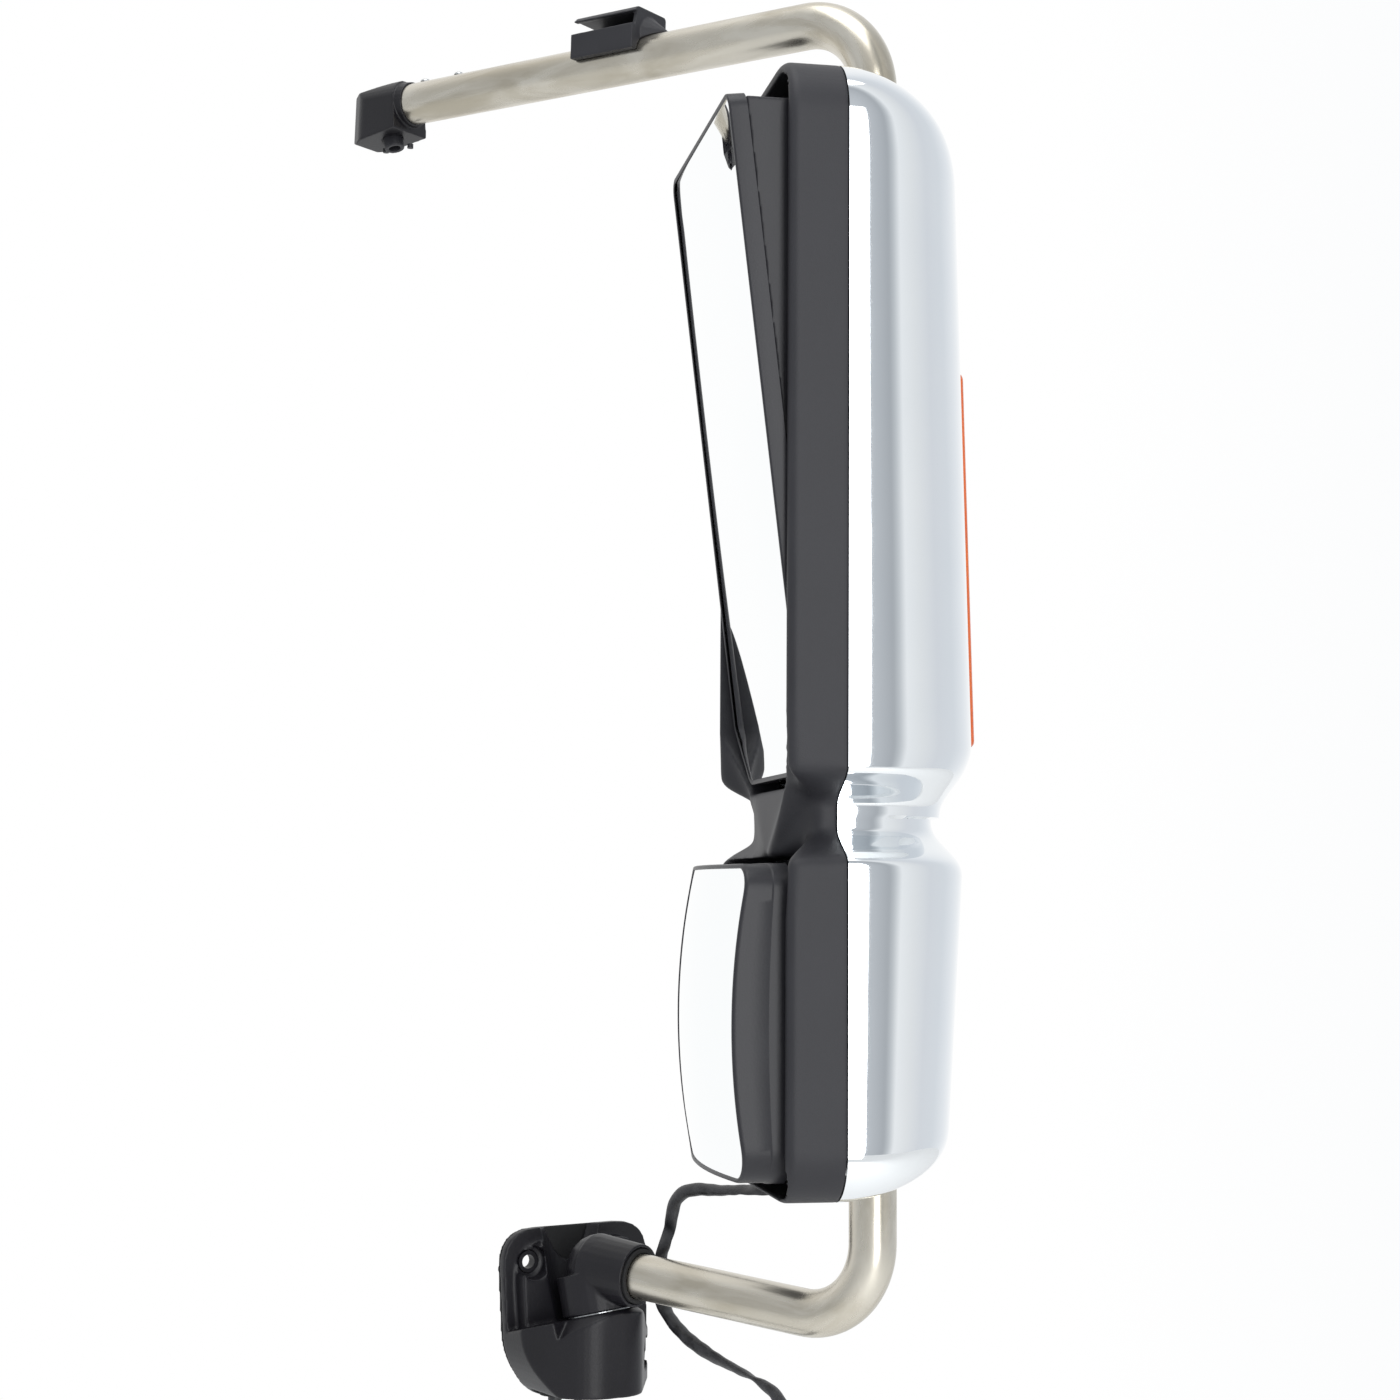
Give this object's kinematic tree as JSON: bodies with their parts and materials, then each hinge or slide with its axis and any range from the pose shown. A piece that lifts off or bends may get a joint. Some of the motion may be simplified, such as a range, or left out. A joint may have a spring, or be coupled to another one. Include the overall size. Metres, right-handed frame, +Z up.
{
  "type": "truck door mirror",
  "caption": "Heavy-truck door mirror on a folding stainless tube loop: chrome-backed head with a flat glass above a convex glass, on a black door base.",
  "frame": {"origin": "on the door side of the base gasket, in line with the lower fold pivot", "axes": "+X out of the door, +Y forward, +Z up"},
  "size_m": [0.5061, 0.2238, 1.0061],
  "materials": {
    "cast_black": "satin powder coat on die-cast aluminium",
    "seal_rubber": "moulded black rubber",
    "zinc_steel": "zinc-plated steel",
    "stainless_tube": "polished stainless tube",
    "textured_black": "fine-textured black moulding",
    "satin_black": "satin black moulding",
    "chrome_plate": "bright chrome plate on moulded plastic",
    "mirror_glass": "silvered glass",
    "amber_lens": "clear amber lens",
    "heater_film": "heater foil",
    "circuit_board": "green circuit board",
    "harness_sleeve": "black PVC sleeve"
  },
  "bodies": {
    "base": {"base_housing": "cast_black", "door_gasket": "seal_rubber", "bolt_bush_1": "zinc_steel", "bolt_bush_2": "zinc_steel", "bolt_bush_3": "zinc_steel", "detent_plate": "zinc_steel", "detent_spring": "zinc_steel", "spring_washer": "zinc_steel", "base_grommet": "seal_rubber", "ground_wire": "harness_sleeve", "ring_terminal": "zinc_steel"},
    "arm_loop": {"loop_tube": "stainless_tube", "arm_socket": "cast_black", "socket_sleeve": "seal_rubber", "socket_grub_screw": "zinc_steel", "fold_pin": "zinc_steel", "fold_nut": "zinc_steel", "end_fitting": "cast_black", "pivot_bushing": "satin_black", "fitting_stud_1": "satin_black", "fitting_stud_2": "satin_black", "fitting_screw_1": "zinc_steel", "fitting_screw_2": "zinc_steel", "arm_clip": "satin_black", "harness_upper": "harness_sleeve", "harness_lower": "harness_sleeve"},
    "head": {"bezel": "textured_black", "chrome_shell": "chrome_plate", "marker_lens": "amber_lens", "marker_lamp_board": "circuit_board", "marker_led_1": "amber_lens", "marker_led_2": "amber_lens", "marker_led_3": "amber_lens", "carrier_plate": "textured_black", "upper_clamp_saddle": "zinc_steel", "upper_clamp_cap": "zinc_steel", "upper_clamp_bolt_1": "zinc_steel", "upper_clamp_bolt_2": "zinc_steel", "lower_clamp_saddle": "zinc_steel", "lower_clamp_cap": "zinc_steel", "lower_clamp_bolt_1": "zinc_steel", "lower_clamp_bolt_2": "zinc_steel", "flat_motor_case": "textured_black", "convex_motor_case": "textured_black"},
    "flat_gimbal": {"flat_gimbal_ring": "satin_black"},
    "flat_mirror": {"flat_glass": "mirror_glass", "flat_heater": "heater_film", "flat_holder": "satin_black", "flat_backing": "satin_black"},
    "flat_tilt_drive": {"flat_tilt_screw": "satin_black"},
    "flat_pan_drive": {"flat_pan_screw": "satin_black"},
    "convex_gimbal": {"convex_gimbal_ring": "satin_black"},
    "convex_mirror": {"convex_glass": "mirror_glass", "convex_heater": "heater_film", "convex_holder": "satin_black"},
    "convex_tilt_drive": {"convex_tilt_screw": "satin_black"},
    "convex_pan_drive": {"convex_pan_screw": "satin_black"}
  },
  "joints": [
    {"name": "arm_fold", "type": "hinge", "parent": "base", "child": "arm_loop", "pos_m": [0.04, 0, 0.001], "axis": [-0.2253, -0.082, 0.9708], "range_deg": [-55, 50], "deforming": ["harness_lower"]},
    {"name": "head_swivel", "type": "hinge", "parent": "arm_loop", "child": "head", "pos_m": [0.23546, 0.07114, 0.4], "axis": [0, 0, 1], "range_deg": [-20, 20], "deforming": ["harness_upper"]},
    {"name": "flat_pan", "type": "hinge", "parent": "head", "child": "flat_gimbal", "pos_m": [0.21174, 0.01527, 0.533], "axis": [0, 0, 1], "range_deg": [-5, 5]},
    {"name": "flat_tilt", "type": "hinge", "parent": "flat_gimbal", "child": "flat_mirror", "pos_m": [0.21174, 0.01527, 0.533], "axis": [-0.9205, 0.3907, 0], "range_deg": [-2, 4]},
    {"name": "flat_tilt_travel", "type": "slide", "parent": "head", "child": "flat_tilt_drive", "axis": [-0.3907, -0.9205, 0], "range_m": [-0.0013, 0.0025]},
    {"name": "flat_pan_travel", "type": "slide", "parent": "head", "child": "flat_pan_drive", "axis": [-0.3907, -0.9205, 0], "range_m": [-0.0031, 0.0031]},
    {"name": "convex_pan", "type": "hinge", "parent": "head", "child": "convex_gimbal", "pos_m": [0.20283, -0.00572, 0.1985], "axis": [0, 0, 1], "range_deg": [-8, 8]},
    {"name": "convex_tilt", "type": "hinge", "parent": "convex_gimbal", "child": "convex_mirror", "pos_m": [0.20283, -0.00572, 0.1985], "axis": [-0.9205, 0.3907, 0], "range_deg": [-8, 8]},
    {"name": "convex_tilt_travel", "type": "slide", "parent": "head", "child": "convex_tilt_drive", "axis": [-0.3907, -0.9205, 0], "range_m": [-0.0049, 0.0049]},
    {"name": "convex_pan_travel", "type": "slide", "parent": "head", "child": "convex_pan_drive", "axis": [-0.3907, -0.9205, 0], "range_m": [-0.0049, 0.0049]}
  ],
  "couplings": [
    {"joint": "flat_tilt_travel", "follows": "flat_tilt", "m_per_rad": 0.034},
    {"joint": "flat_pan_travel", "follows": "flat_pan", "m_per_rad": 0.034},
    {"joint": "convex_tilt_travel", "follows": "convex_tilt", "m_per_rad": 0.034},
    {"joint": "convex_pan_travel", "follows": "convex_pan", "m_per_rad": 0.034}
  ]
}
